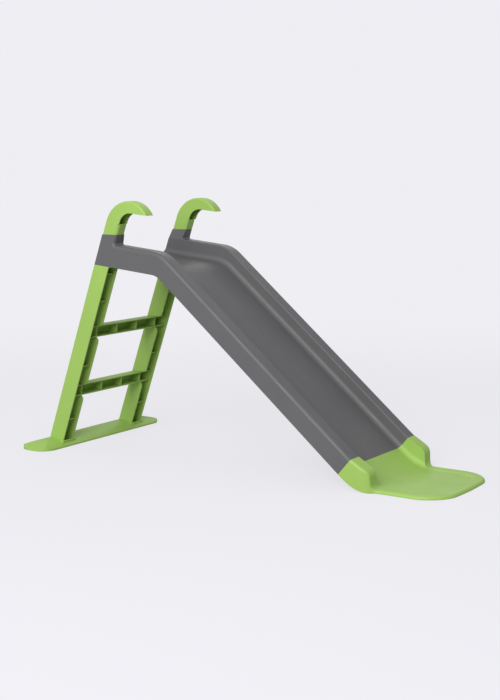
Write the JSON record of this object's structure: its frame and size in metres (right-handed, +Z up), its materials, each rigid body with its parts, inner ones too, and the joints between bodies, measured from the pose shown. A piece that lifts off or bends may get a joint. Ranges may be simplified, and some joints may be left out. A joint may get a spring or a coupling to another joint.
{
  "type": "straight slide",
  "caption": "Free-standing straight toddler slide: a leaning stepped ladder on a wide foot, a walled chute with hook handles, and a separate run-out with a flat tongue.",
  "frame": {"origin": "on the ground, in the middle of the slide's width and halfway along its length over all", "axes": "+Z up; +X level, from the ladder towards the run-out, the way the child slides; +Y across the slide to the left of the child who slides down"},
  "size_m": [1.3917, 0.59, 0.7669],
  "materials": {
    "green_plastic": "moulded lime-green polypropylene with a satin surface",
    "grey_plastic": "moulded mid-grey polypropylene with a satin surface",
    "steel_screw": "zinc-plated steel"
  },
  "bodies": {
    "root": {"slide_chute": "grey_plastic", "run_out": "green_plastic", "right_rail": "green_plastic", "left_rail": "green_plastic", "lower_step": "green_plastic", "upper_step": "green_plastic", "base_foot": "green_plastic", "right_handle": "green_plastic", "left_handle": "green_plastic", "rail_screws": "steel_screw", "handle_screws": "steel_screw", "step_screws": "steel_screw", "foot_screws": "steel_screw", "run_out_screws": "steel_screw"}
  },
  "joints": []
}
